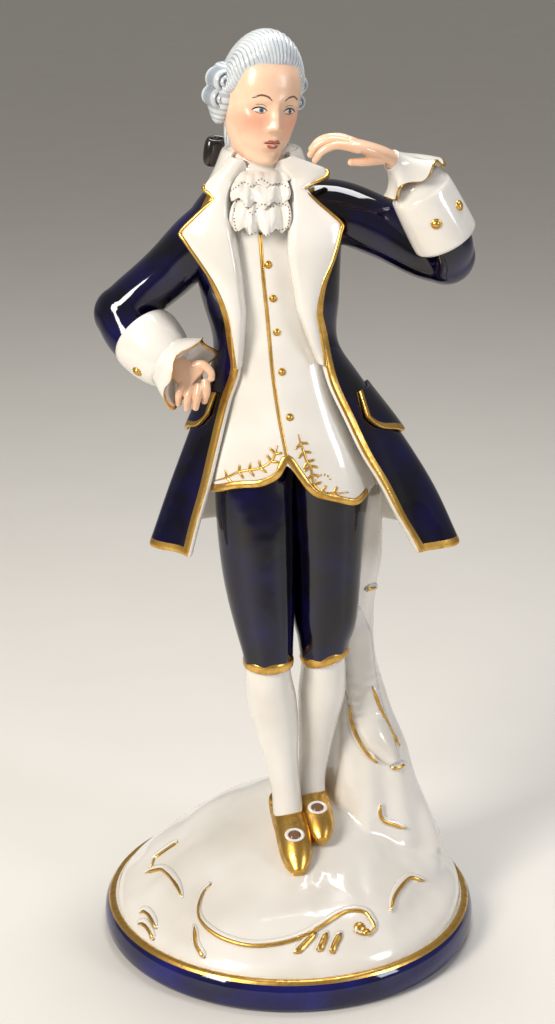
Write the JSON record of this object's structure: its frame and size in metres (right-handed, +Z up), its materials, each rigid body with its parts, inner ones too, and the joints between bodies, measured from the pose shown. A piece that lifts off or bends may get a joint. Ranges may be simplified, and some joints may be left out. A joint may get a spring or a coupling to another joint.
{
  "type": "porcelain figurine",
  "caption": "Standing gentleman in rococo dress with one hand at the hip and one raised, on a round rockwork base with a banded foot.",
  "frame": {"origin": "centre of the foot ring, on the surface that the figurine stands on", "axes": "+Z up; the figure faces -Y; +X to the gentleman's left"},
  "size_m": [0.134, 0.134, 0.3206],
  "materials": {
    "white_glaze": "high-gloss clear glaze over white porcelain",
    "cobalt_glaze": "high-gloss dark cobalt-blue glaze",
    "burnished_gold": "fired and burnished gold over glazed porcelain",
    "flesh_enamel": "glossy fired flesh-coloured enamel",
    "grey_wig_enamel": "glossy pale blue-grey enamel with brushed strands",
    "dark_bow_enamel": "glossy near-black enamel",
    "bare_biscuit": "matt unglazed biscuit porcelain"
  },
  "bodies": {
    "root": {"base_rim": "cobalt_glaze", "base_closing_plate": "bare_biscuit", "base_mound": "white_glaze", "tree_stump": "white_glaze", "right_stocking": "white_glaze", "left_stocking": "white_glaze", "right_shoe": "burnished_gold", "left_shoe": "burnished_gold", "shoe_buckles": "white_glaze", "right_breeches_leg": "cobalt_glaze", "left_breeches_leg": "cobalt_glaze", "waistcoat_torso": "white_glaze", "waistcoat_buttons": "burnished_gold", "coat_body": "cobalt_glaze", "coat_tail": "cobalt_glaze", "right_coat_skirt": "cobalt_glaze", "left_coat_skirt": "cobalt_glaze", "right_lapel": "white_glaze", "left_lapel": "white_glaze", "coat_collar": "cobalt_glaze", "right_pocket_flap": "cobalt_glaze", "left_pocket_flap": "cobalt_glaze", "right_sleeve": "cobalt_glaze", "left_sleeve": "cobalt_glaze", "right_cuff": "white_glaze", "left_cuff": "white_glaze", "right_sleeve_ruffle": "white_glaze", "left_sleeve_ruffle": "white_glaze", "right_hand": "flesh_enamel", "left_hand": "flesh_enamel", "head": "flesh_enamel", "wig": "grey_wig_enamel", "right_side_curls": "grey_wig_enamel", "left_side_curls": "grey_wig_enamel", "wig_queue": "grey_wig_enamel", "queue_bow": "dark_bow_enamel", "neckcloth": "white_glaze", "jabot": "white_glaze", "cuff_buttons": "burnished_gold"}
  },
  "joints": []
}
